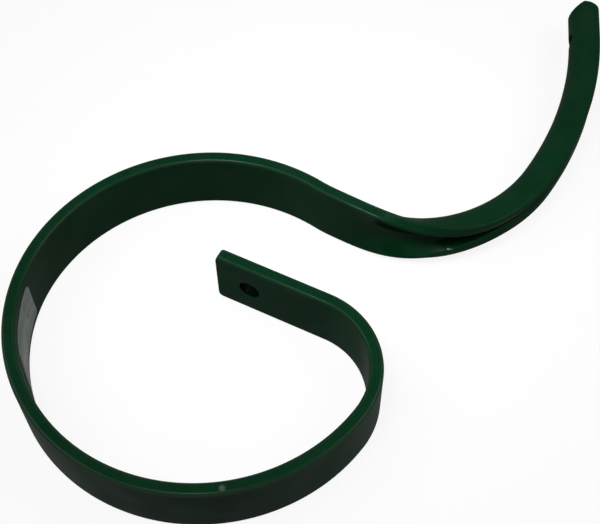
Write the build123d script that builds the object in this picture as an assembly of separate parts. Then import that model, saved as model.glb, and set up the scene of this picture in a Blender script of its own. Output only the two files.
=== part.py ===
from build123d import *
import os
from math import cos, pi, radians, sin

# Cultivator spring shank, bent from one flat bar of spring steel.
# Lengths are in millimetres and angles in degrees.
# The origin is the middle of the frame bolt's hole, halfway through the bar.
# +X runs along the straight seat towards the coil, and +Z runs across the bar's width.
# Arcs that turn clockwise, seen from +Z, have a negative angle.

# Flat bar
bar_width = 50.0
bar_thickness = 9.5
edge_radius = 2.5

# Straight seat under the cultivator's frame
seat_length = 85.2
seat_corner_radius = 3.0
frame_bolt_diameter = 15.0
frame_bolt_from_end = 26.0
hole_break = 0.6

# Bends of the centreline from the seat into the coil
seat_bend_radius = 56.5
seat_bend_angle = -42.4
coil_entry_radius = 56.6
coil_entry_angle = -57.9
coil_radius = 130.3
coil_angle = -270.2

# Bends of the centreline down the folded leg
leg_upper_radius = 110.9
leg_upper_angle = 54.1
leg_middle_radius = 115.8
leg_middle_angle = 38.0
leg_lower_radius = 307.8
leg_lower_angle = 28.4
leg_end_length = 34.4

# Lengthwise fold of the leg: each half of the width turns by the fold angle
fold_start = 13.6
fold_length = 127.4
fold_angle = 101.3
fold_bend_zone = 14.0
fold_stations = 13
folded_bar_width = 46.2

# End of the leg, where the share bolts through the nose
tip_slant_length = 8.8
tip_slant_depth = 11.0
tip_corner_radius = 9.0
share_bolt_diameter = 12.0
share_bolt_from_tip = 37.1

# How far a cutting shape reaches past what it cuts
overrun = 20.0

# Shortest piece of the centreline that is kept when it is cut
least_piece = 0.001


def seat_line():
    """Straight middle line of the seat, from the bar's end."""
    return Line((-frame_bolt_from_end, 0), (seat_length - frame_bolt_from_end, 0))


def arcs_from(before, bends):
    """Tangent arcs that carry on from an edge, one for each radius and angle."""
    arcs = []
    for radius, angle in bends:
        before = JernArc(before @ 1, before % 1, radius, angle)
        arcs.append(before)
    return arcs


def coil_edges():
    """Seat and coil of the centreline, up to where the leg bends the other way."""
    seat = seat_line()
    bends = [
        (seat_bend_radius, seat_bend_angle),
        (coil_entry_radius, coil_entry_angle),
        (coil_radius, coil_angle),
    ]
    return [seat] + arcs_from(seat, bends)


def leg_edges():
    """Leg of the centreline, from the coil to the tip."""
    bends = [
        (leg_upper_radius, leg_upper_angle),
        (leg_middle_radius, leg_middle_angle),
        (leg_lower_radius, leg_lower_angle),
    ]
    arcs = arcs_from(coil_edges()[-1], bends)
    last = arcs[-1]
    return arcs + [Line(last @ 1, last @ 1 + (last % 1) * leg_end_length)]


def leg_length():
    """Length of the leg's centreline, up to the tip."""
    return sum(edge.length for edge in leg_edges())


def part_of(edges, start, end):
    """Edges between two distances along a chain of edges."""
    kept = []
    passed = 0.0
    for edge in edges:
        length = edge.length
        low = max(start - passed, 0.0)
        high = min(end - passed, length)
        if high - low > least_piece:
            kept.append(edge.trim(low / length, high / length))
        passed += length
    return kept


def section_plane(point, heading):
    """Plane across the bar, with X to the left of the heading and Y along +Z."""
    left = Vector(0, 0, 1).cross(heading)
    return Plane(origin=point, x_dir=left, z_dir=heading)


def folded_point(fold, across, depth):
    """Where a point of the flat bar's section goes when its halves are folded.

    across is measured along the width from the middle, and depth from the
    mid-plane towards the nose, the outside of the fold.
    """
    if fold == 0:
        return (depth, across)
    side = 1 if across >= 0 else -1
    turned = min(abs(across), fold_bend_zone)
    flat = abs(across) - turned
    radius = fold_bend_zone / radians(fold)
    angle = turned / radius
    x = (radius + depth) * cos(angle) - radius - flat * sin(angle)
    y = (radius + depth) * sin(angle) + flat * cos(angle)
    return (x, side * y)


def fold_arc(fold, depth):
    """Edge of the section round the fold, at a depth from the mid-plane."""
    places = (-fold_bend_zone, 0, fold_bend_zone)
    points = [folded_point(fold, place, depth) for place in places]
    if fold == 0:
        return Line(points[0], points[2])
    return ThreePointArc(*points)


def lip_edges(fold, width, side):
    """Rounded edge of the bar at the end of one half of the section."""
    rim = width / 2
    face = bar_thickness / 2
    inset = edge_radius * (1 - cos(pi / 4))
    outer = [(rim - edge_radius, face), (rim - inset, face - inset), (rim, face - edge_radius)]
    points = [folded_point(fold, side * across, depth) for across, depth in outer]
    mirror = [folded_point(fold, side * across, -depth) for across, depth in outer]
    rim_line = Line(points[2], mirror[2])
    return [ThreePointArc(*points), rim_line, ThreePointArc(*mirror)]


def flank_edge(fold, width, side, depth):
    """Straight edge of the section between the fold and the rounded lip."""
    start = folded_point(fold, side * fold_bend_zone, depth)
    end = folded_point(fold, side * (width / 2 - edge_radius), depth)
    return Line(start, end)


def bar_section(fold, width):
    """Section of the bar with each half of its width turned by the fold angle."""
    face = bar_thickness / 2
    edges = [fold_arc(fold, face), fold_arc(fold, -face)]
    for side in (1, -1):
        edges += [flank_edge(fold, width, side, face), flank_edge(fold, width, side, -face)]
        edges += lip_edges(fold, width, side)
    return make_face(edges)


def swept_bar(edges, fold, width):
    """Bar of one section along a chain of tangent lines and arcs."""
    first = edges[0]
    section = section_plane(first @ 0, first % 0) * bar_section(fold, width)
    return sweep(section, path=Wire(edges))


def ease(share):
    """Smooth step from 0 to 1."""
    return share * share * (3 - 2 * share)


def transition_section(share):
    """Section of the bar at a share of the way from flat to folded."""
    fold = fold_angle * ease(share)
    width = bar_width - (bar_width - folded_bar_width) * ease(share)
    return bar_section(fold, width)


def fold_transition(edges):
    """Stretch of the leg where the flat bar closes lengthwise and draws in."""
    path = Wire(edges)
    faces = []
    for station in range(fold_stations):
        share = station / (fold_stations - 1)
        plane = section_plane(path @ share, path % share)
        faces.append(plane * transition_section(share))
    return loft(faces)


def frame_bolt_hole():
    """Hole through the seat for the frame bolt, along Y, with broken edges."""
    face = Plane.XZ.offset(-bar_thickness / 2)
    radius = frame_bolt_diameter / 2
    hole = extrude(face * Circle(radius), bar_thickness)
    near = Plane.XZ.offset(bar_thickness / 2) * Circle(radius + hole_break)
    far = face * Circle(radius + hole_break)
    hole += extrude(near, -hole_break, taper=45)
    return hole + extrude(far, hole_break, taper=45)


def seat_corners():
    """Waste round the two sheared corners at the seat's end."""
    radius = seat_corner_radius
    waste = []
    for side in (1, -1):
        corner = (-frame_bolt_from_end, side * bar_width / 2)
        centre = (corner[0] + radius, corner[1] - side * radius)
        square = Pos(*centre) * Rectangle(4 * radius, 4 * radius)
        quarter = Pos(corner[0] - radius, corner[1] + side * radius) * Rectangle(4 * radius, 4 * radius)
        shape = (square & quarter) - Pos(*centre) * Circle(radius)
        waste.append(extrude(Plane.XZ * shape, bar_thickness, both=True))
    return waste


def tip_plane():
    """Plan view at the leg's end: X along the leg, Y towards the nose."""
    end = leg_edges()[-1]
    return Plane(origin=end @ 1, x_dir=end % 1, z_dir=(0, 0, 1))


def lip_reach():
    """Distance from the mid-plane to the farthest edge of the folded lips."""
    rim = folded_bar_width / 2
    face = bar_thickness / 2
    corners = [folded_point(fold_angle, rim, depth) for depth in (face, 0, -face)]
    return max(-x for x, y in corners)


def tip_waste():
    """What the slanted and rounded end of the leg leaves off, seen in plan."""
    nose = bar_thickness / 2
    reach = lip_reach()
    slope = tip_slant_length / tip_slant_depth
    slant_start = (-tip_slant_length - slope * overrun, nose + overrun)
    slant_end = (0, nose - tip_slant_depth)
    corner_start = (0, tip_corner_radius - reach)
    corner_end = (-tip_corner_radius, -reach)
    arc = TangentArc(corner_start, corner_end, tangent=(0, -1))
    rest = Polyline(
        corner_end,
        (-tip_corner_radius, -reach - overrun),
        (overrun, -reach - overrun),
        (overrun, nose + overrun),
        slant_start,
        slant_end,
        corner_start,
    )
    return extrude(tip_plane() * make_face([arc] + rest.edges()), bar_width, both=True)


def share_bolt_hole():
    """Hole through the nose for the share's bolt, square to the leg."""
    edge = part_of(leg_edges(), leg_length() - share_bolt_from_tip, leg_length())[0]
    left = Vector(0, 0, 1).cross(edge % 0)
    fold_radius = fold_bend_zone / radians(fold_angle)
    start = (edge @ 0) + left * (bar_thickness / 2 + overrun)
    depth = overrun + bar_thickness / 2 + fold_radius
    return extrude(Plane(start, z_dir=-left) * Circle(share_bolt_diameter / 2), depth)


def spring_shank():
    """The whole shank: flat seat and coil, fold, and folded leg."""
    leg = leg_edges()
    fold_end = fold_start + fold_length
    shank = swept_bar(coil_edges() + part_of(leg, 0, fold_start), 0, bar_width)
    shank += fold_transition(part_of(leg, fold_start, fold_end))
    shank += swept_bar(part_of(leg, fold_end, leg_length()), fold_angle, folded_bar_width)
    shank -= frame_bolt_hole()
    for waste in seat_corners():
        shank -= waste
    shank -= tip_waste()
    return shank - share_bolt_hole()


def main():
    os.makedirs("parts", exist_ok=True)
    export_step(spring_shank(), "parts/spring_shank.step")


if __name__ == "__main__":
    main()
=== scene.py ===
"""Cultivator spring shank: the painted finish, its sticker, and the studio.

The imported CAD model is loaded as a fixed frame. The shank stands for its CAD node,
drawn with the same sizes and finer rounds, in a worn green paint. The paper sticker
inside the coil is a piece of its own. All sizes are in metres unless a name says
otherwise.
"""

from __future__ import annotations

import logging
import math
from dataclasses import dataclass, field
from enum import Enum

import bmesh
import bpy
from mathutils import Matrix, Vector

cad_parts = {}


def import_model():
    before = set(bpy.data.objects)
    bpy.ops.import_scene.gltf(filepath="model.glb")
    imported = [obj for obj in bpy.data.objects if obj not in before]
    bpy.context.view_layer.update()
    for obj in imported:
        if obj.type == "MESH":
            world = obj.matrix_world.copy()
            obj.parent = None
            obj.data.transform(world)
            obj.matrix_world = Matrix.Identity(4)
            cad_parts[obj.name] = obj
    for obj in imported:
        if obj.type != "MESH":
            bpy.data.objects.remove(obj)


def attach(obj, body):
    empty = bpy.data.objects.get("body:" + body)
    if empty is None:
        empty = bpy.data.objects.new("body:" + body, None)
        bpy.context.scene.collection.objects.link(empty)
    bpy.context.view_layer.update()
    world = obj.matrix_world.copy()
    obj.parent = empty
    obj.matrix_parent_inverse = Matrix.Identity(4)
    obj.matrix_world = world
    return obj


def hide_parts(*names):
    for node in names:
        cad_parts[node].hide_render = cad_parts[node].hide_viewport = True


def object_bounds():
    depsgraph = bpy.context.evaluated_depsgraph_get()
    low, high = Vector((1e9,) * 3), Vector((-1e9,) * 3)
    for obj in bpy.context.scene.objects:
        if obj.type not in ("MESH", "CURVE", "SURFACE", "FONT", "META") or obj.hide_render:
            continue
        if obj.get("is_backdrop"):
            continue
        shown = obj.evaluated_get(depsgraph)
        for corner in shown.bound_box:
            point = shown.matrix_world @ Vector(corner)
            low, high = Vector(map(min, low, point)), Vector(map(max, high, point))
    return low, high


log = logging.getLogger("spring_shank")

Colour = tuple[float, float, float]
Place = tuple[float, float, float]
Outline = list[tuple[float, float]]
WHITE: Colour = (1.0, 1.0, 1.0)
SHANK_NODE = "spring_shank"


class Ray(Enum):
    """Kinds of ray that see the white background."""

    CAMERA = "Is Camera Ray"
    GLOSSY = "Is Glossy Ray"
    TRANSMISSION = "Is Transmission Ray"


class Lamp(Enum):
    """The studio's soft boxes."""

    KEY = "key_softbox"
    LEFT = "left_softbox"
    RIGHT = "right_softbox"


def rgba(colour: Colour) -> tuple[float, float, float, float]:
    """Colour with full opacity."""
    return (*colour, 1.0)


class NodeSheet:
    """A node tree with short calls for adding and joining nodes."""

    def __init__(self, tree: bpy.types.NodeTree) -> None:
        """Wraps the node tree of a material, a world or a group."""
        self.tree = tree

    def add(self, kind: str, **values: object) -> bpy.types.Node:
        """Adds a node.

        Args:
            kind: The node's type name.
            **values: Properties to set on it.

        Returns:
            The new node.
        """
        node = self.tree.nodes.new(kind)
        for name, value in values.items():
            setattr(node, name, value)
        return node

    def join(self, source: bpy.types.NodeSocket, target: bpy.types.NodeSocket) -> None:
        """Links an output to an input."""
        self.tree.links.new(source, target)

    def feed(self, socket: bpy.types.NodeSocket, value: object) -> None:
        """Links an output to a socket, or sets the socket's own value.

        Args:
            socket: The input to feed.
            value: An output socket, or a plain value.
        """
        if isinstance(value, bpy.types.NodeSocket):
            self.join(value, socket)
        else:
            socket.default_value = value

    def math(self, operation: str, *values: object, clamp: bool = False) -> bpy.types.NodeSocket:
        """Adds a Math node.

        Args:
            operation: The node's operation.
            *values: Its inputs, as outputs of other nodes or as numbers.
            clamp: Whether the result is kept from 0 to 1.

        Returns:
            The node's output.
        """
        node = self.add("ShaderNodeMath", operation=operation, use_clamp=clamp)
        for socket, value in zip(node.inputs, values):
            self.feed(socket, value)
        return node.outputs[0]

    def ramp(self, value: object, low: object, high: object) -> bpy.types.NodeSocket:
        """Smooth step of a value from 0 at low to 1 at high, which may be the smaller one.

        Args:
            value: The output to remap.
            low: Where the step starts.
            high: Where the step ends.

        Returns:
            The remapped value.
        """
        node = self.add("ShaderNodeMapRange", interpolation_type="SMOOTHSTEP")
        self.feed(node.inputs["Value"], value)
        self.feed(node.inputs["From Min"], low)
        self.feed(node.inputs["From Max"], high)
        return node.outputs["Result"]

    def part(self, vector: object, axis: str) -> bpy.types.NodeSocket:
        """One part of a vector.

        Args:
            vector: The vector, as an output of another node.
            axis: The part's letter.

        Returns:
            The part.
        """
        node = self.add("ShaderNodeSeparateXYZ")
        self.feed(node.inputs[0], vector)
        return node.outputs[axis]

    def measure(self, operation: str, *vectors: object) -> bpy.types.NodeSocket:
        """Adds a Vector Math node that gives a number.

        Args:
            operation: The node's operation, such as LENGTH or DISTANCE.
            *vectors: Its inputs, as outputs of other nodes or as places.

        Returns:
            The number.
        """
        node = self.add("ShaderNodeVectorMath", operation=operation)
        for socket, vector in zip(node.inputs, vectors):
            self.feed(socket, vector)
        return node.outputs["Value"]

    def noise(
        self, vector: object, scale: object, detail: float = 3.0, roughness: float = 0.5
    ) -> bpy.types.NodeSocket:
        """Noise value over a vector.

        Args:
            vector: The coordinates.
            scale: Features per metre.
            detail: Octaves of finer noise.
            roughness: Strength of the finer octaves.

        Returns:
            The noise value, about 0.5 on average.
        """
        node = self.add("ShaderNodeTexNoise")
        self.feed(node.inputs["Vector"], vector)
        self.feed(node.inputs["Scale"], scale)
        node.inputs["Detail"].default_value = detail
        node.inputs["Roughness"].default_value = roughness
        return node.outputs["Fac"]

    def blend(self, mask: object, under: object, over: object) -> bpy.types.NodeSocket:
        """Colour that goes from one to another by a mask.

        Args:
            mask: 0 shows under, and 1 shows over.
            under: The first colour.
            over: The second colour.

        Returns:
            The mixed colour.
        """
        node = self.add("ShaderNodeMix", data_type="RGBA")
        self.feed(node.inputs["Factor"], mask)
        self.feed(node.inputs["A"], under)
        self.feed(node.inputs["B"], over)
        return node.outputs["Result"]

    def between(self, mask: object, low: object, high: object) -> bpy.types.NodeSocket:
        """Number that goes from low to high by a mask.

        Args:
            mask: 0 gives low, and 1 gives high.
            low: The first number.
            high: The second number.

        Returns:
            The mixed number.
        """
        node = self.add("ShaderNodeMix", data_type="FLOAT")
        self.feed(node.inputs["Factor"], mask)
        self.feed(node.inputs["A"], low)
        self.feed(node.inputs["B"], high)
        return node.outputs["Result"]

    def bumped(self, height: object, strength: float, distance: float) -> bpy.types.NodeSocket:
        """Normal bent by a height.

        Args:
            height: The height, from 0 to about 1.
            strength: How strongly the normal follows it.
            distance: Real height of the value 1.

        Returns:
            The bent normal.
        """
        node = self.add("ShaderNodeBump")
        node.inputs["Strength"].default_value = strength
        node.inputs["Distance"].default_value = distance
        self.feed(node.inputs["Height"], height)
        return node.outputs["Normal"]


def new_finish(name: str) -> tuple[bpy.types.Material, NodeSheet, bpy.types.Node]:
    """Starts a material.

    Args:
        name: The material's name.

    Returns:
        The material, its sheet and its Principled BSDF.
    """
    material = bpy.data.materials.new(name)
    material.use_nodes = True
    return material, NodeSheet(material.node_tree), material.node_tree.nodes["Principled BSDF"]


class EffectGroups:
    """Shader node groups that the finishes share, each built once."""

    def __init__(self) -> None:
        """Starts with no group built."""
        self.built: dict[str, bpy.types.NodeTree] = {}

    def start(
        self, name: str, numbers: dict[str, float], outputs: tuple[str, ...]
    ) -> tuple[NodeSheet, bpy.types.Node, bpy.types.Node]:
        """Makes an empty group that reads a vector and some numbers.

        Args:
            name: The group's name.
            numbers: Default of each number by socket name.
            outputs: Names of the masks or heights that it puts out.

        Returns:
            The group's sheet, its input node and its output node.
        """
        tree = bpy.data.node_groups.new(name, "ShaderNodeTree")
        tree.interface.new_socket("Vector", in_out="INPUT", socket_type="NodeSocketVector")
        for label, default in numbers.items():
            socket = tree.interface.new_socket(label, in_out="INPUT", socket_type="NodeSocketFloat")
            socket.default_value = default
        for label in outputs:
            tree.interface.new_socket(label, in_out="OUTPUT", socket_type="NodeSocketFloat")
        sheet = NodeSheet(tree)
        self.built[name] = tree
        return sheet, sheet.add("NodeGroupInput"), sheet.add("NodeGroupOutput")

    def place(self, sheet: NodeSheet, name: str, **values: object) -> bpy.types.Node:
        """Places a group in a material.

        Args:
            sheet: The material's sheet.
            name: The group to place.
            **values: Inputs by socket name, with underscores for spaces.

        Returns:
            The group's node.
        """
        if name not in self.built:
            getattr(self, "build_" + name)()
        node = sheet.add("ShaderNodeGroup", node_tree=self.built[name])
        for label, value in values.items():
            sheet.feed(node.inputs[label.replace("_", " ")], value)
        return node

    def build_orange_peel(self) -> None:
        """Fine waves of sprayed or dipped paint, as a height."""
        numbers = {"Scale": 300.0, "Sag": 0.4, "Slow Share": 0.12}
        sheet, given, result = self.start("orange_peel", numbers, ("Height",))
        place, scale = given.outputs["Vector"], given.outputs["Scale"]
        fine = sheet.noise(place, scale, detail=2.0)
        slow_scale = sheet.math("MULTIPLY", scale, given.outputs["Slow Share"])
        slow = sheet.noise(place, slow_scale, detail=1.0)
        sag = sheet.math("MULTIPLY", slow, given.outputs["Sag"])
        sheet.join(sheet.math("ADD", fine, sag), result.inputs["Height"])

    def build_dust_film(self) -> None:
        """Thin dust where a surface faces up, as a mask."""
        numbers = {"Amount": 0.3, "Scale": 60.0}
        sheet, given, result = self.start("dust_film", numbers, ("Mask",))
        normal = sheet.add("ShaderNodeNewGeometry").outputs["Normal"]
        facing_up = sheet.ramp(sheet.part(normal, "Z"), low=0.1, high=0.95)
        patches = sheet.noise(
            given.outputs["Vector"], given.outputs["Scale"], detail=5.0, roughness=0.65
        )
        mask = sheet.math("MULTIPLY", facing_up, sheet.ramp(patches, low=0.35, high=0.7))
        amount = sheet.math("MULTIPLY", mask, given.outputs["Amount"], clamp=True)
        sheet.join(amount, result.inputs["Mask"])

    def build_scuffs(self) -> None:
        """Sparse specks and short scuffs, as a mask."""
        numbers = {"Scale": 90.0, "Cover": 0.3, "Patch Share": 0.2, "Hardness": 25.0}
        sheet, given, result = self.start("scuffs", numbers, ("Mask",))
        place, scale = given.outputs["Vector"], given.outputs["Scale"]
        specks = sheet.noise(place, scale, detail=6.0, roughness=0.72)
        patch_scale = sheet.math("MULTIPLY", scale, given.outputs["Patch Share"])
        patches = sheet.noise(place, patch_scale, detail=2.0)
        both = sheet.math("MULTIPLY", specks, patches)
        least_cover, full_cover = 0.52, 0.32
        level = sheet.between(given.outputs["Cover"], least_cover, full_cover)
        over = sheet.math("SUBTRACT", both, level)
        mask = sheet.math("MULTIPLY", over, given.outputs["Hardness"], clamp=True)
        sheet.join(mask, result.inputs["Mask"])

    def build_edge_wear(self) -> None:
        """Rounded edges above a height, and where they are rubbed, as two masks."""
        numbers = {"Amount": 0.5, "Scale": 120.0, "From Height": 0.0, "Full Height": 0.01}
        sheet, given, result = self.start("edge_wear", numbers, ("Edge", "Mask"))
        place = given.outputs["Vector"]
        height = sheet.part(place, "Z")
        upper = sheet.ramp(height, given.outputs["From Height"], given.outputs["Full Height"])
        pointed = sheet.add("ShaderNodeNewGeometry").outputs["Pointiness"]
        edge = sheet.math("MULTIPLY", sheet.ramp(pointed, low=0.51, high=0.522), upper)
        broken = sheet.noise(place, given.outputs["Scale"], detail=5.0, roughness=0.7)
        rubbed = sheet.math("MULTIPLY", edge, sheet.ramp(broken, low=0.5, high=0.72))
        mask = sheet.math("MULTIPLY", rubbed, given.outputs["Amount"], clamp=True)
        sheet.join(edge, result.inputs["Edge"])
        sheet.join(mask, result.inputs["Mask"])


@dataclass(frozen=True)
class ChipAndHighlightSpot:
    """Small pale place on the paint, used for chips to bare steel and for a painted highlight."""

    place: Place
    reach: float
    strength: float
    full_share: float = 0.3


@dataclass(frozen=True)
class ShankPaint:
    """Dark green dipped paint over spring steel.

    Its gloss is a weak coat over a matt base. It is a little stronger on the upper rounded edges,
    which are rubbed smooth. The frame bolt's hole is darkened as painted shade, and one pale spot
    on a top edge of the coil is a painted highlight.
    """

    colour: Colour = (0.0014, 0.038, 0.0118)
    faded: Colour = (0.0022, 0.045, 0.0155)
    fading_scale: float = 22.0
    rubbed: Colour = (0.022, 0.07, 0.048)
    wear_amount: float = 0.08
    wear_scale: float = 160.0
    edge_from_height: float = 0.0205
    edge_full_height: float = 0.0225
    dust: Colour = (0.13, 0.17, 0.155)
    dust_amount: float = 0.015
    dust_scale: float = 45.0
    scuff_scale: float = 240.0
    scuff_cover: float = 0.3
    gloss: float = 0.085
    worn_gloss_share: float = 0.75
    edge_gloss: float = 0.24
    dull_gloss: float = 0.03
    gloss_roughness: float = 0.18
    roughness: float = 0.6
    dull_roughness: float = 0.9
    dulling_scale: float = 35.0
    peel_scale: float = 420.0
    peel_sag: float = 1.6
    peel_strength: float = 0.6
    peel_height: float = 0.00004
    # Painted shade inside the frame bolt's hole and on its broken edge.
    bore_painted_shade: Colour = (0.0008, 0.006, 0.0032)
    bore_shade_from: float = 0.0092
    bore_shade_full: float = 0.0086
    # Colour of the chips, and of the painted highlight.
    bare_and_highlight: Colour = (0.66, 0.72, 0.66)
    chips_and_highlight: tuple[ChipAndHighlightSpot, ...] = (
        # A chip down to bare steel, drawn as three overlapping spots.
        ChipAndHighlightSpot((0.1111, 0.096, -0.008), 0.0011, 0.6),
        ChipAndHighlightSpot((0.1122, 0.0963, -0.008), 0.001, 0.3),
        ChipAndHighlightSpot((0.1136, 0.0967, -0.0079), 0.001, 0.12),
        # Painted highlight: a pale glint on a top edge of the coil, not a chip.
        ChipAndHighlightSpot((0.0605, -0.1515, 0.025), 0.0029, 0.15),
    )

    def chips_and_highlight_mask(self, sheet: NodeSheet, place: bpy.types.NodeSocket) -> bpy.types.NodeSocket:
        """Mask of the chips and of the painted highlight.

        Args:
            sheet: The material's sheet.
            place: Object coordinates.

        Returns:
            The strength of the spots at each place.
        """
        mask: object = 0.0
        for spot in self.chips_and_highlight:
            distance = sheet.measure("DISTANCE", place, spot.place)
            near = sheet.ramp(distance, spot.reach, spot.full_share * spot.reach)
            mask = sheet.math("MAXIMUM", mask, sheet.math("MULTIPLY", near, spot.strength))
        return mask

    def material(self, groups: EffectGroups) -> bpy.types.Material:
        """Builds the paint.

        Args:
            groups: The shared effects.

        Returns:
            The finished material.
        """
        material, sheet, shader = new_finish("dark_green_paint")
        place = sheet.add("ShaderNodeTexCoord").outputs["Object"]
        shader.inputs["Specular IOR Level"].default_value = 0.0
        shader.inputs["Coat Roughness"].default_value = self.gloss_roughness

        patches = sheet.noise(place, self.fading_scale, detail=4.0)
        fading = sheet.ramp(patches, low=0.35, high=0.7)
        colour = sheet.blend(fading, rgba(self.colour), rgba(self.faded))
        wear = groups.place(
            sheet,
            "edge_wear",
            Vector=place,
            Amount=self.wear_amount,
            Scale=self.wear_scale,
            From_Height=self.edge_from_height,
            Full_Height=self.edge_full_height,
        ).outputs
        colour = sheet.blend(wear["Mask"], colour, rgba(self.rubbed))
        film = groups.place(
            sheet, "dust_film", Vector=place, Amount=self.dust_amount, Scale=self.dust_scale
        ).outputs["Mask"]
        colour = sheet.blend(film, colour, rgba(self.dust))
        scuffs = groups.place(
            sheet, "scuffs", Vector=place, Scale=self.scuff_scale, Cover=self.scuff_cover
        ).outputs["Mask"]
        colour = sheet.blend(scuffs, colour, rgba(self.rubbed))
        # Pale chips to bare steel, and one painted highlight.
        colour = sheet.blend(self.chips_and_highlight_mask(sheet, place), colour, rgba(self.bare_and_highlight))
        # Painted shade: the frame bolt's hole and its broken edge are darkened, standing in for the
        # shade inside the hole. The same mask dulls the gloss there.
        bore_shade = sheet.ramp(sheet.measure("LENGTH", place), self.bore_shade_from, self.bore_shade_full)
        colour = sheet.blend(bore_shade, colour, rgba(self.bore_painted_shade))
        sheet.join(colour, shader.inputs["Base Color"])

        dulling = sheet.ramp(sheet.noise(place, self.dulling_scale), low=0.3, high=0.7)
        roughness = sheet.between(dulling, self.roughness, self.dull_roughness)
        sheet.join(roughness, shader.inputs["Roughness"])
        gloss = sheet.between(dulling, self.gloss, self.worn_gloss_share * self.gloss)
        gloss = sheet.between(wear["Edge"], gloss, self.edge_gloss)
        for dull in (film, wear["Mask"], bore_shade):
            gloss = sheet.between(dull, gloss, self.dull_gloss)
        sheet.join(gloss, shader.inputs["Coat Weight"])

        peel = groups.place(
            sheet, "orange_peel", Vector=place, Scale=self.peel_scale, Sag=self.peel_sag
        ).outputs["Height"]
        normal = sheet.bumped(peel, self.peel_strength, self.peel_height)
        sheet.join(normal, shader.inputs["Normal"])
        return material


@dataclass(frozen=True)
class StickerPaper:
    """Blank grey-white paper with streaks along it, a little darker towards its far end."""

    colour: Colour = (0.285, 0.325, 0.29)
    streak: Colour = (0.15, 0.175, 0.155)
    dark_tone: Colour = (0.05, 0.06, 0.05)
    specular_level: float = 0.2
    roughness: float = 0.55
    streak_roughness: float = 0.75
    grain: Place = (0.5, -0.87, 0.0)
    grain_stretch: float = 0.12
    streak_scale: float = 520.0
    darker_from_y: float = -0.1235
    darker_full_y: float = -0.1265
    far_end_darkening: float = 0.55
    scuff_scale: float = 520.0
    scuff_cover: float = 0.8
    fibre_scale: float = 1500.0
    fibre_sag: float = 0.2
    fibre_strength: float = 0.4
    fibre_height: float = 0.00003

    def streaks(self, sheet: NodeSheet, place: bpy.types.NodeSocket) -> bpy.types.NodeSocket:
        """Mask of fine streaks along the grain.

        Args:
            sheet: The material's sheet.
            place: Object coordinates.

        Returns:
            The mask.
        """
        along = sheet.measure("DOT_PRODUCT", place, self.grain)
        fibres = sheet.add("ShaderNodeCombineXYZ")
        sheet.feed(fibres.inputs["X"], sheet.part(place, "Z"))
        sheet.feed(fibres.inputs["Y"], sheet.math("MULTIPLY", along, self.grain_stretch))
        streaked = sheet.noise(fibres.outputs[0], self.streak_scale, detail=4.0, roughness=0.65)
        return sheet.ramp(streaked, low=0.4, high=0.75)

    def material(self, groups: EffectGroups) -> bpy.types.Material:
        """Builds the paper.

        Args:
            groups: The shared effects.

        Returns:
            The finished material.
        """
        material, sheet, shader = new_finish("sticker_paper")
        shader.inputs["Specular IOR Level"].default_value = self.specular_level
        place = sheet.add("ShaderNodeTexCoord").outputs["Object"]
        streaks = self.streaks(sheet, place)
        colour = sheet.blend(streaks, rgba(self.colour), rgba(self.streak))
        # Darker towards the far end, in the dark tone that the scuffs also use.
        far_end = sheet.ramp(sheet.part(place, "Y"), self.darker_from_y, self.darker_full_y)
        colour = sheet.blend(sheet.math("MULTIPLY", far_end, self.far_end_darkening), colour, rgba(self.dark_tone))
        scuffs = groups.place(
            sheet, "scuffs", Vector=place, Scale=self.scuff_scale, Cover=self.scuff_cover
        ).outputs["Mask"]
        colour = sheet.blend(scuffs, colour, rgba(self.dark_tone))
        sheet.join(colour, shader.inputs["Base Color"])
        roughness = sheet.between(streaks, self.roughness, self.streak_roughness)
        sheet.join(roughness, shader.inputs["Roughness"])
        fibre = groups.place(
            sheet, "orange_peel", Vector=place, Scale=self.fibre_scale, Sag=self.fibre_sag
        ).outputs["Height"]
        normal = sheet.bumped(fibre, self.fibre_strength, self.fibre_height)
        sheet.join(normal, shader.inputs["Normal"])
        return material


@dataclass(frozen=True)
class Bend:
    """Tangent arc of the bar's middle line, clockwise where its angle is negative."""

    radius: float
    degrees: float


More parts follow.
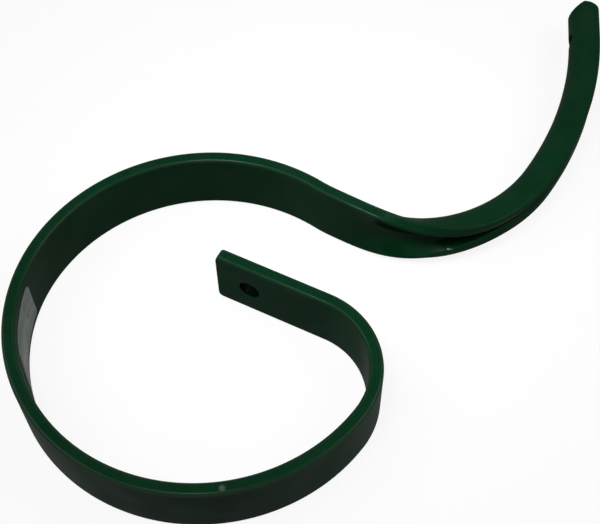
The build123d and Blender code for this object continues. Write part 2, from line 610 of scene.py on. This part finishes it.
@dataclass(frozen=True)
class MiddleLine:
    """Middle line of the bent bar, from the seat's end to the leg's tip."""

    seat_end: tuple[float, float] = (-0.026, 0.0)
    seat_length: float = 0.0852
    coil_bends: tuple[Bend, ...] = (
        Bend(0.0565, -42.4),
        Bend(0.0566, -57.9),
        Bend(0.1303, -270.2),
    )
    leg_bends: tuple[Bend, ...] = (
        Bend(0.1109, 54.1),
        Bend(0.1158, 38.0),
        Bend(0.3078, 28.4),
    )
    tip_length: float = 0.0344

    def stretches(self) -> list[tuple[float, float]]:
        """Length and signed curvature of each stretch in turn.

        Returns:
            The stretches, from the seat's end. A straight one has no curvature.
        """
        arcs = []
        for bend in self.coil_bends + self.leg_bends:
            length = bend.radius * abs(math.radians(bend.degrees))
            arcs.append((length, math.copysign(1.0 / bend.radius, bend.degrees)))
        return [(self.seat_length, 0.0), *arcs, (self.tip_length, 0.0)]

    def length(self) -> float:
        """Length of the whole line."""
        return sum(length for length, _ in self.stretches())

    def leg_start(self) -> float:
        """Distance from the seat's end to the leg."""
        before = self.stretches()[: 1 + len(self.coil_bends)]
        return sum(length for length, _ in before)

    def coil_centre(self) -> Vector:
        """Centre of the coil.

        Returns:
            The centre of the bend that ends where the leg starts.
        """
        coil = self.coil_bends[-1]
        point, _, left = self.at(self.leg_start())
        return point + left * math.copysign(coil.radius, coil.degrees)

    def at(self, distance: float) -> tuple[Vector, Vector, Vector]:
        """Place on the line.

        Args:
            distance: Distance from the seat's end.

        Returns:
            The point, the heading and the direction to the left of it.
        """
        x, y = self.seat_end
        heading = 0.0
        for length, curvature in self.stretches():
            step = min(distance, length)
            turn = curvature * step
            if curvature:
                x += (math.sin(heading + turn) - math.sin(heading)) / curvature
                y += (math.cos(heading) - math.cos(heading + turn)) / curvature
            else:
                x += step * math.cos(heading)
                y += step * math.sin(heading)
            heading += turn
            distance -= step
        ahead = Vector((math.cos(heading), math.sin(heading), 0.0))
        return Vector((x, y, 0.0)), ahead, Vector((-ahead.y, ahead.x, 0.0))


@dataclass(frozen=True)
class BarSection:
    """Section of the bar, flat or with its two halves folded towards each other.

    The guard is the width of a narrow strip beside each round, which keeps the flat
    faces from being shaded as part of it.
    """

    thickness: float = 0.0095
    edge_radius: float = 0.0025
    bend_zone: float = 0.014
    zone_steps: int = 10
    round_steps: int = 6
    guard: float = 0.0003

    def folded(self, fold: float, across: float, depth: float) -> tuple[float, float]:
        """Where a point of the flat section goes when its halves are folded.

        Args:
            fold: Angle of each half, in radians.
            across: Place along the width, from the middle.
            depth: Place through the thickness, towards the nose.

        Returns:
            The point, as (towards the nose, up).
        """
        if fold == 0.0:
            return depth, across
        turned = min(abs(across), self.bend_zone)
        straight = abs(across) - turned
        radius = self.bend_zone / fold
        angle = turned / radius
        x = (radius + depth) * math.cos(angle) - radius - straight * math.sin(angle)
        y = (radius + depth) * math.sin(angle) + straight * math.cos(angle)
        return x, math.copysign(y, across)

    def quarter(self, width: float, inset: float) -> Outline:
        """Outline of a quarter of the flat section.

        Args:
            width: Width of the bar.
            inset: How far the outline is drawn in.

        Returns:
            Points from the middle of the face to the side, as (across, depth).
        """
        rim = width / 2 - inset
        face = self.thickness / 2 - inset
        radius = self.edge_radius - inset
        zone = [self.bend_zone * step / self.zone_steps for step in range(self.zone_steps + 1)]
        points = [(across, face) for across in zone + [rim - radius - self.guard]]
        for step in range(self.round_steps + 1):
            angle = math.pi / 2 * step / self.round_steps
            across = rim - radius + radius * math.sin(angle)
            depth = face - radius + radius * math.cos(angle)
            points.append((across, depth))
        return points + [(rim, face - radius - self.guard)]

    def outline(self, fold: float, width: float, inset: float = 0.0) -> Outline:
        """Closed outline of the section.

        Args:
            fold: Angle of each half, in radians.
            width: Width of the bar.
            inset: How far the outline is drawn in.

        Returns:
            Points round the section, as (towards the nose, up).
        """
        corner = self.quarter(width, inset)
        side = corner + [(across, -depth) for across, depth in reversed(corner)]
        loop = side + [(-across, depth) for across, depth in reversed(side[1:-1])]
        return [self.folded(fold, across, depth) for across, depth in loop]


@dataclass(frozen=True)
class LegFold:
    """How the leg closes lengthwise into a gutter."""

    start: float = 0.0136
    length: float = 0.1274
    degrees: float = 101.3
    flat_width: float = 0.05
    folded_width: float = 0.0462

    def share(self, distance: float) -> float:
        """Share of the fold reached at a distance down the leg, easing in and out."""
        way = min(max((distance - self.start) / self.length, 0.0), 1.0)
        return way * way * (3.0 - 2.0 * way)

    def angle(self, distance: float) -> float:
        """Angle of each half at a distance down the leg, in radians."""
        return math.radians(self.degrees) * self.share(distance)

    def width(self, distance: float) -> float:
        """Width of the bar at a distance down the leg, laid flat."""
        return self.flat_width - (self.flat_width - self.folded_width) * self.share(distance)


@dataclass(frozen=True)
class LegTip:
    """Slanted and rounded end of the leg, with the share's bolt hole."""

    slant_length: float = 0.0088
    slant_depth: float = 0.011
    corner_radius: float = 0.009
    corner_steps: int = 12
    hole_radius: float = 0.006
    hole_from_end: float = 0.0371


@dataclass(frozen=True)
class SeatEnd:
    """Sheared end of the seat, with the frame bolt's hole."""

    corner_radius: float = 0.003
    corner_steps: int = 6
    broken_edge: float = 0.0004
    hole_radius: float = 0.0075
    hole_break: float = 0.0006


def mesh_object(name: str, shape: bmesh.types.BMesh) -> bpy.types.Object:
    """Makes an object from a finished bmesh and frees the bmesh.

    Args:
        name: The object's name.
        shape: The mesh, closed and in the row frame.

    Returns:
        The object, linked into the scene.
    """
    bmesh.ops.recalc_face_normals(shape, faces=shape.faces[:])
    mesh = bpy.data.meshes.new(name)
    shape.to_mesh(mesh)
    shape.free()
    made = bpy.data.objects.new(name, mesh)
    bpy.context.scene.collection.objects.link(made)
    return made


def closed_skin(rings: list[list[Vector]]) -> bmesh.types.BMesh:
    """Skin over rings of equal count, closed by a flat face at each end.

    Args:
        rings: The rings in order.

    Returns:
        The closed mesh.
    """
    shape = bmesh.new()
    loops = [[shape.verts.new(point) for point in ring] for ring in rings]
    for near, far in zip(loops, loops[1:]):
        for index, vertex in enumerate(near):
            shape.faces.new((near[index - 1], vertex, far[index], far[index - 1]))
    shape.faces.new(loops[0])
    shape.faces.new(loops[-1])
    return shape


@dataclass
class SpringShank:
    """The bent bar, drawn finely over the CAD node that it stands for."""

    line: MiddleLine = field(default_factory=MiddleLine)
    section: BarSection = field(default_factory=BarSection)
    fold: LegFold = field(default_factory=LegFold)
    tip: LegTip = field(default_factory=LegTip)
    seat_end: SeatEnd = field(default_factory=SeatEnd)
    paint: ShankPaint = field(default_factory=ShankPaint)
    station_spacing: float = 0.003
    hole_steps: int = 64
    overrun: float = 0.02
    sharp_degrees: float = 30.0

    def ring(self, distance: float, narrowing: float = 0.0, inset: float = 0.0) -> list[Vector]:
        """Section of the bar in its place.

        Args:
            distance: Distance from the seat's end.
            narrowing: How much each side is drawn in.
            inset: How far the whole outline is drawn in.

        Returns:
            Points round the bar.
        """
        point, _, left = self.line.at(distance)
        along_leg = distance - self.line.leg_start()
        width = self.fold.width(along_leg) - 2.0 * narrowing
        outline = self.section.outline(self.fold.angle(along_leg), width, inset)
        return [point + left * x + Vector((0.0, 0.0, y)) for x, y in outline]

    def end_rings(self) -> list[list[Vector]]:
        """Rings over the seat's end, with its round corners and broken edge.

        Returns:
            The rings, from the end face to where the bar has its full width.
        """
        end = self.seat_end
        broken = end.broken_edge
        rings = [self.ring(0.0, end.corner_radius, broken)]
        for step in range(end.corner_steps + 1):
            angle = math.pi / 2 * step / end.corner_steps
            narrowing = end.corner_radius * (1.0 - math.sin(angle))
            rings.append(self.ring(broken + end.corner_radius * (1.0 - math.cos(angle)), narrowing))
        return rings

    def bar(self) -> bpy.types.Object:
        """The bent and folded bar, before its holes and its slanted tip.

        Returns:
            The bar's object.
        """
        start = self.seat_end.broken_edge + self.seat_end.corner_radius
        run = self.line.length() - start
        count = math.ceil(run / self.station_spacing)
        rings = self.end_rings()
        rings += [self.ring(start + run * step / count) for step in range(1, count + 1)]
        return mesh_object("painted_shank", closed_skin(rings))

    def drill(self, centre: Vector, axis: Vector, profile: Outline) -> bpy.types.Object:
        """Turned cutter for a hole.

        Args:
            centre: The hole's middle.
            axis: The hole's direction.
            profile: Rings as (distance along the axis, radius).

        Returns:
            The cutter's object.
        """
        side = Vector((0.0, 0.0, 1.0))
        across = axis.cross(side)
        rings = []
        for along, radius in profile:
            ring = []
            for step in range(self.hole_steps):
                angle = 2.0 * math.pi * step / self.hole_steps
                offset = across * math.cos(angle) + side * math.sin(angle)
                ring.append(centre + axis * along + offset * radius)
            rings.append(ring)
        return mesh_object("hole_cutter", closed_skin(rings))

    def frame_bolt_hole(self) -> bpy.types.Object:
        """Cutter for the hole in the seat, with broken edges.

        Returns:
            The cutter's object.
        """
        end = self.seat_end
        face = self.section.thickness / 2
        outer_place = face + self.overrun
        outer_radius = end.hole_radius + end.hole_break + self.overrun
        inner_place = face - end.hole_break
        inner_radius = end.hole_radius
        profile = [
            (-outer_place, outer_radius),
            (-inner_place, inner_radius),
            (inner_place, inner_radius),
            (outer_place, outer_radius),
        ]
        return self.drill(Vector(), Vector((0.0, 1.0, 0.0)), profile)

    def share_bolt_hole(self) -> bpy.types.Object:
        """Cutter for the hole through the nose.

        Returns:
            The cutter's object.
        """
        point, _, left = self.line.at(self.line.length() - self.tip.hole_from_end)
        bottom = -self.section.bend_zone / math.radians(self.fold.degrees)
        radius = self.tip.hole_radius
        return self.drill(point, left, [(bottom, radius), (self.overrun, radius)])

    def lip_reach(self) -> float:
        """How far the folded lips reach.

        Returns:
            Distance from the middle line to their farthest edge.
        """
        fold = math.radians(self.fold.degrees)
        face = self.section.thickness / 2
        rim = self.fold.folded_width / 2
        return max(-self.section.folded(fold, rim, depth)[0] for depth in (face, 0.0, -face))

    def tip_waste(self) -> bpy.types.Object:
        """Cutter for what the slanted and rounded end leaves off.

        Returns:
            The cutter's object.
        """
        point, ahead, left = self.line.at(self.line.length())
        tip, over = self.tip, self.overrun
        nose, reach = self.section.thickness / 2, self.lip_reach()
        radius = tip.corner_radius
        slope = tip.slant_length / tip.slant_depth
        plan = [(-tip.slant_length - slope * over, nose + over), (0.0, nose - tip.slant_depth)]
        for step in range(tip.corner_steps + 1):
            angle = math.pi / 2 * step / tip.corner_steps
            along = radius * (math.cos(angle) - 1.0)
            plan.append((along, radius * (1.0 - math.sin(angle)) - reach))
        plan += [(-radius, -reach - over), (over, -reach - over), (over, nose + over)]
        rings = []
        for height in (-self.fold.flat_width, self.fold.flat_width):
            up = Vector((0.0, 0.0, height))
            rings.append([point + ahead * x + left * y + up for x, y in plan])
        return mesh_object("tip_cutter", closed_skin(rings))

    def cut(self, shank: bpy.types.Object, cutters: list[bpy.types.Object]) -> None:
        """Takes cutters out of the bar and shades it with crisp cut edges.

        Args:
            shank: The bar.
            cutters: What to take out. They are deleted.
        """
        for cutter in cutters:
            difference = shank.modifiers.new(cutter.name, "BOOLEAN")
            difference.operation = "DIFFERENCE"
            difference.solver = "EXACT"
            difference.object = cutter
        graph = bpy.context.evaluated_depsgraph_get()
        whole = shank.data
        shank.data = bpy.data.meshes.new_from_object(shank.evaluated_get(graph))
        shank.modifiers.clear()
        bpy.data.meshes.remove(whole)
        for cutter in cutters:
            bpy.data.meshes.remove(cutter.data)
        shape = bmesh.new()
        shape.from_mesh(shank.data)
        for face in shape.faces:
            face.smooth = True
        for edge in shape.edges:
            edge.smooth = edge.calc_face_angle(0.0) < math.radians(self.sharp_degrees)
        shape.to_mesh(shank.data)
        shape.free()

    def build(self, groups: EffectGroups) -> bpy.types.Object:
        """Makes the shank, paints it and lets it stand for the CAD node.

        Args:
            groups: The shared effects.

        Returns:
            The shank's object.
        """
        shank = self.bar()
        self.cut(shank, [self.frame_bolt_hole(), self.share_bolt_hole(), self.tip_waste()])
        shank.data.materials.clear()
        shank.data.materials.append(self.paint.material(groups))
        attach(shank, "root")
        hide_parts(SHANK_NODE)
        log.info("shank made: %d polygons", len(shank.data.polygons))
        return shank


@dataclass
class CoilSticker:
    """Blank paper sticker on the inner face of the coil."""

    line: MiddleLine = field(default_factory=MiddleLine)
    section: BarSection = field(default_factory=BarSection)
    paper: StickerPaper = field(default_factory=StickerPaper)
    start_degrees: float = 196.0
    end_degrees: float = 228.3
    end_slant: float = 0.012
    low: float = -0.0185
    high: float = 0.0174
    corner_radius: float = 0.0035
    corner_steps: int = 6
    paper_thickness: float = 0.00022
    strip_length: float = 0.002

    def face_radius(self) -> float:
        """Radius of the coil's inner face."""
        return self.line.coil_bends[-1].radius - self.section.thickness / 2

    def length(self) -> float:
        """Length of the sticker along the coil."""
        return math.radians(self.end_degrees - self.start_degrees) * self.face_radius()

    def outline(self) -> Outline:
        """Rounded outline of the sticker laid flat.

        Returns:
            Points as (length along the coil, height), anticlockwise.
        """
        length, radius = self.length(), self.corner_radius
        corner_centres = [
            (length - radius, self.low + radius),
            (length - self.end_slant - radius, self.high - radius),
            (radius, self.high - radius),
            (radius, self.low + radius),
        ]
        points = []
        for corner, (x, y) in enumerate(corner_centres):
            for step in range(self.corner_steps + 1):
                angle = math.pi / 2 * (corner - 1 + step / self.corner_steps)
                points.append((x + radius * math.cos(angle), y + radius * math.sin(angle)))
        return points

    def on_coil(self, along: float, height: float) -> Vector:
        """Place of the paper's middle layer over the coil's inner face.

        Args:
            along: Length along the face from the sticker's start.
            height: Height across the bar's width.

        Returns:
            The point in the row frame.
        """
        angle = math.radians(self.start_degrees) + along / self.face_radius()
        radius = self.face_radius() - self.paper_thickness
        outward = Vector((math.cos(angle), math.sin(angle), 0.0))
        return self.line.coil_centre() + outward * radius + Vector((0.0, 0.0, height))

    def build(self, groups: EffectGroups) -> bpy.types.Object:
        """Makes the sticker and puts it on the coil.

        Args:
            groups: The shared effects.

        Returns:
            The sticker's object.
        """
        mesh = bpy.data.meshes.new("coil_sticker")
        sheet = bmesh.new()
        face = sheet.faces.new([sheet.verts.new((x, y, 0.0)) for x, y in self.outline()])
        face.normal_update()
        for strip in range(1, int(self.length() / self.strip_length)):
            bmesh.ops.bisect_plane(
                sheet,
                geom=sheet.verts[:] + sheet.edges[:] + sheet.faces[:],
                plane_co=(strip * self.strip_length, 0.0, 0.0),
                plane_no=(1.0, 0.0, 0.0),
            )
        for vertex in sheet.verts:
            vertex.co = self.on_coil(vertex.co.x, vertex.co.y)
        for piece in sheet.faces:
            piece.smooth = True
        sheet.to_mesh(mesh)
        sheet.free()
        sticker = bpy.data.objects.new("coil_sticker", mesh)
        bpy.context.scene.collection.objects.link(sticker)
        solid = sticker.modifiers.new("paper_thickness", "SOLIDIFY")
        solid.thickness = self.paper_thickness
        solid.offset = 0.0
        mesh.materials.append(self.paper.material(groups))
        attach(sticker, "root")
        log.info("sticker made: %d polygons", len(mesh.polygons))
        return sticker


@dataclass
class PhotoCamera:
    """Camera at the photograph's viewing angle. The sensor's width is in millimetres."""

    location: Place = (0.22462, -0.3657, 0.66973)
    elevation_degrees: float = 56.5
    turn_degrees: float = 26.35
    focal_pixels: float = 1120.8
    centre_pixel: tuple[float, float] = (307.2, 266.7)
    frame_pixels: tuple[int, int] = (600, 524)
    sensor_width: float = 36.0

    def build(self) -> None:
        """Makes the camera and puts it in use."""
        lens = bpy.data.cameras.new("photo_camera")
        width, height = self.frame_pixels
        lens.sensor_fit = "HORIZONTAL"
        lens.sensor_width = self.sensor_width
        lens.lens = self.focal_pixels / width * lens.sensor_width
        lens.shift_x = (width / 2 - self.centre_pixel[0]) / width
        lens.shift_y = (self.centre_pixel[1] - height / 2) / width
        camera = bpy.data.objects.new("photo_camera", lens)
        camera.location = self.location
        tilt = math.radians(90.0 - self.elevation_degrees)
        camera.rotation_euler = (tilt, 0.0, math.radians(self.turn_degrees))
        bpy.context.scene.collection.objects.link(camera)
        bpy.context.scene.camera = camera
        log.info("camera set: lens %.1f mm", lens.lens)


@dataclass
class SoftBox:
    """One rectangular lamp of the studio."""

    lamp: Lamp
    size: tuple[float, float]
    location: Place
    energy: float
    spread_degrees: float = 180.0

    def build(self, target: Vector) -> None:
        """Makes the lamp and points it at a target.

        Args:
            target: The point that the lamp faces.
        """
        light = bpy.data.lights.new(self.lamp.value, "AREA")
        light.shape = "RECTANGLE"
        light.size, light.size_y = self.size
        light.energy = self.energy
        light.spread = math.radians(self.spread_degrees)
        lamp = bpy.data.objects.new(self.lamp.value, light)
        lamp.location = self.location
        towards = target - Vector(self.location)
        lamp.rotation_euler = towards.to_track_quat("-Z", "Y").to_euler()
        bpy.context.scene.collection.objects.link(lamp)
        log.info("lamp %s: %.1f W", self.lamp.value, self.energy)


@dataclass
class Studio:
    """Pale floor, plain surroundings and soft boxes."""

    floor_level: float
    middle: Vector
    floor_half_size: float = 8.0
    floor_colour: Colour = (0.2, 0.2, 0.2)
    floor_glow: float = 0.88
    surroundings: float = 0.086
    soft_boxes: tuple[SoftBox, ...] = (
        SoftBox(Lamp.KEY, (0.25, 0.25), (-0.028, -0.2, 0.8), energy=0.21, spread_degrees=45.0),
        SoftBox(Lamp.LEFT, (0.8, 0.8), (-0.78, -0.32, 1.07), energy=4.1),
        SoftBox(Lamp.RIGHT, (0.8, 0.8), (0.84, 0.48, 1.07), energy=4.1),
    )

    def seen_directly(self, sheet: NodeSheet) -> bpy.types.NodeSocket:
        """Mask of the rays that see the white background.

        Args:
            sheet: The floor's or the world's sheet.

        Returns:
            1 for those rays and 0 for the rest.
        """
        path = sheet.add("ShaderNodeLightPath")
        mask: object = 0.0
        for ray in Ray:
            mask = sheet.math("MAXIMUM", mask, path.outputs[ray.value])
        return mask

    def floor_material(self) -> bpy.types.Material:
        """Pale floor that looks white to the camera and keeps the shadow.

        Returns:
            The finished material.
        """
        material, sheet, shader = new_finish("studio_floor")
        shader.inputs["Base Color"].default_value = rgba(self.floor_colour)
        shader.inputs["Roughness"].default_value = 1.0
        shader.inputs["Specular IOR Level"].default_value = 0.0
        shader.inputs["Emission Color"].default_value = rgba(WHITE)
        glow = sheet.math("MULTIPLY", self.seen_directly(sheet), self.floor_glow)
        sheet.join(glow, shader.inputs["Emission Strength"])
        return material

    def build_floor(self) -> None:
        """Makes the floor under the object."""
        mesh = bpy.data.meshes.new("studio_floor")
        shape = bmesh.new()
        bmesh.ops.create_grid(shape, x_segments=2, y_segments=2, size=self.floor_half_size)
        shape.to_mesh(mesh)
        shape.free()
        floor = bpy.data.objects.new("studio_floor", mesh)
        floor.location = (self.middle.x, self.middle.y, self.floor_level)
        mesh.materials.append(self.floor_material())
        bpy.context.scene.collection.objects.link(floor)
        floor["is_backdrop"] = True

    def build_world(self) -> None:
        """Makes the plain surroundings, white where they are seen."""
        world = bpy.data.worlds.new("studio_world")
        bpy.context.scene.world = world
        world.use_nodes = True
        sheet = NodeSheet(world.node_tree)
        background = world.node_tree.nodes["Background"]
        background.inputs["Color"].default_value = rgba(WHITE)
        strength = sheet.between(self.seen_directly(sheet), self.surroundings, 1.0)
        sheet.join(strength, background.inputs["Strength"])

    def build(self) -> None:
        """Builds the floor, the surroundings and the lamps."""
        self.build_floor()
        self.build_world()
        for box in self.soft_boxes:
            box.build(self.middle)
        bpy.context.scene.view_settings.view_transform = "Standard"


def main() -> None:
    """Builds the scene."""
    logging.basicConfig(level=logging.INFO, format="%(name)s: %(message)s")
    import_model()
    cad_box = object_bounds()
    low, high = Vector(cad_box[0]), Vector(cad_box[1])
    groups = EffectGroups()
    shank = SpringShank()
    shank.build(groups)
    CoilSticker(shank.line, shank.section).build(groups)
    Studio(floor_level=low.z, middle=(low + high) / 2).build()
    PhotoCamera().build()


if __name__ == "__main__":
    main()
